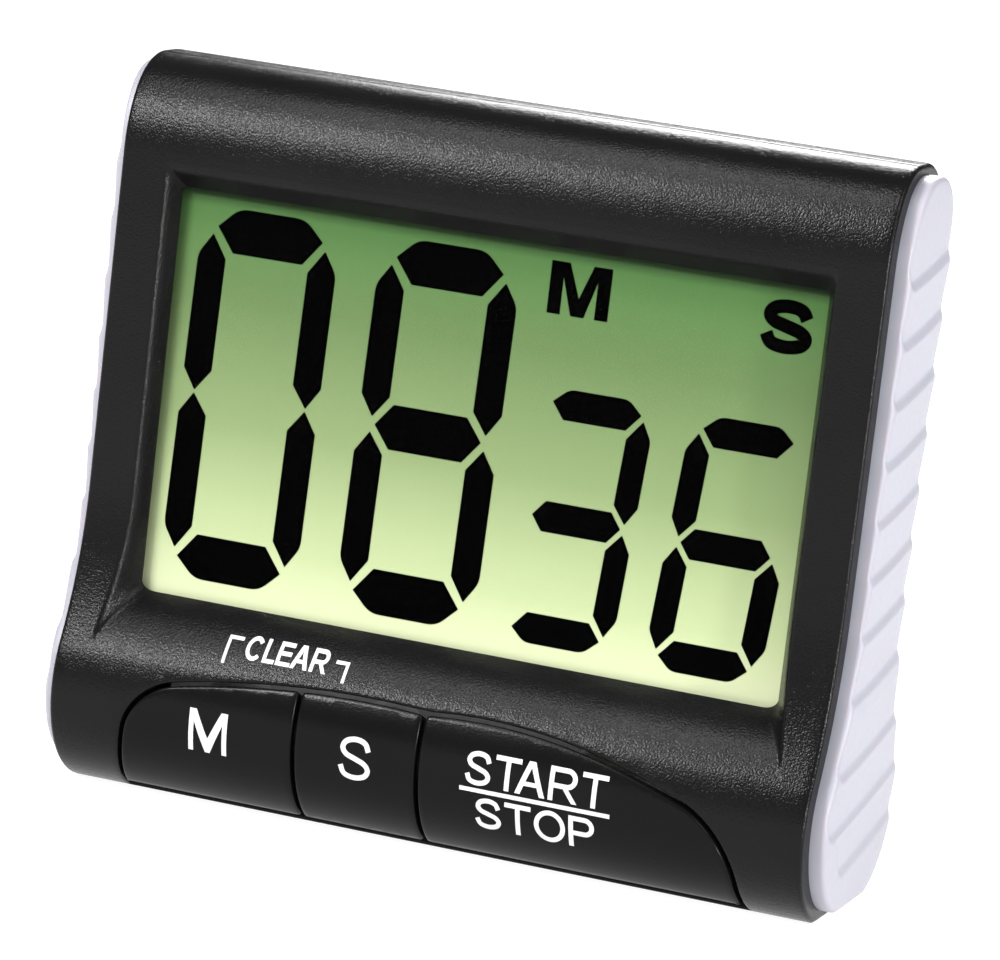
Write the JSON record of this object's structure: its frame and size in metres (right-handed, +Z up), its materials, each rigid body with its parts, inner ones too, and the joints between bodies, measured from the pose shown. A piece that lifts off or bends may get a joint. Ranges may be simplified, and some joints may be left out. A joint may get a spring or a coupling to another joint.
{
  "type": "kitchen timer",
  "caption": "Digital kitchen timer with a large display in a wavy case, sprung keys on its foot, pale ribbed side grips, and a magnetic back with a hanging slot.",
  "frame": {"origin": "middle of the flat sole, under the centre of the bounding box", "axes": "+X to the right of the display, the display faces -Y, +Z up"},
  "size_m": [0.079, 0.0258, 0.0705],
  "materials": {
    "case_black": "satin, fine spark-eroded grain",
    "key_black": "satin, smoother than the case, white printed legends",
    "grip_pale": "soft matte, pale lavender white",
    "window_clear": "clear gloss",
    "polarizer_film": "matte anti-glare film, green",
    "lcd_glass": "clear",
    "reflector_green": "satin film",
    "bezel_white": "moulded",
    "zebra_rubber": "matte",
    "board_green": "solder mask",
    "resin_black": "cured resin",
    "component_tan": "ceramic bodies",
    "disc_brass": "brushed",
    "ceramic_white": "fired ceramic",
    "gasket_foam": "foam",
    "cell_wrap": "plain printed sleeve",
    "plated_steel": "nickel plated",
    "magnet_nickel": "nickel plated",
    "screw_steel": "zinc plated",
    "mat_rubber": "silicone",
    "carbon_rubber": "carbon loaded",
    "lead_red": "insulation",
    "lead_black": "insulation"
  },
  "bodies": {
    "case": {"front_shell": "case_black", "rear_cover": "case_black", "left_side_grip": "grip_pale", "right_side_grip": "grip_pale", "keypad_mat": "mat_rubber", "display_window": "window_clear", "lcd_front_polarizer": "polarizer_film", "lcd_front_glass": "lcd_glass", "lcd_rear_glass": "lcd_glass", "lcd_reflector": "reflector_green", "display_bezel": "bezel_white", "zebra_connector": "zebra_rubber", "circuit_board": "board_green", "controller_blob": "resin_black", "clock_crystal": "plated_steel", "board_components": "component_tan", "piezo_disc": "disc_brass", "piezo_ceramic": "ceramic_white", "buzzer_gasket": "gasket_foam", "battery_can": "cell_wrap", "battery_cap": "plated_steel", "positive_contact": "plated_steel", "negative_contact": "plated_steel", "negative_spring": "plated_steel", "magnets": "magnet_nickel", "case_screws": "screw_steel", "board_screws": "screw_steel", "buzzer_lead_red": "lead_red", "buzzer_lead_black": "lead_black", "battery_lead_red": "lead_red", "battery_lead_black": "lead_black"},
    "minute_key": {"minute_button": "key_black", "minute_pill": "carbon_rubber"},
    "second_key": {"second_button": "key_black", "second_pill": "carbon_rubber"},
    "start_stop_key": {"start_stop_button": "key_black", "start_stop_pill": "carbon_rubber"},
    "battery_hatch": {"battery_door": "case_black"}
  },
  "joints": [
    {"name": "minute_press", "type": "slide", "parent": "case", "child": "minute_key", "axis": [0, 1, 0], "range_m": [0, 0.001], "stiffness_N_per_m": 900, "springref_m": -0.0002, "deforming": ["keypad_mat"]},
    {"name": "second_press", "type": "slide", "parent": "case", "child": "second_key", "axis": [0, 1, 0], "range_m": [0, 0.001], "stiffness_N_per_m": 900, "springref_m": -0.0002, "deforming": ["keypad_mat"]},
    {"name": "start_stop_press", "type": "slide", "parent": "case", "child": "start_stop_key", "axis": [0, 1, 0], "range_m": [0, 0.001], "stiffness_N_per_m": 900, "springref_m": -0.0002, "deforming": ["keypad_mat"]},
    {"name": "battery_door_tilt", "type": "hinge", "parent": "case", "child": "battery_hatch", "pos_m": [0, 0.01068, 0.0036], "axis": [-1, 0, 0], "range_deg": [0, 85]}
  ]
}
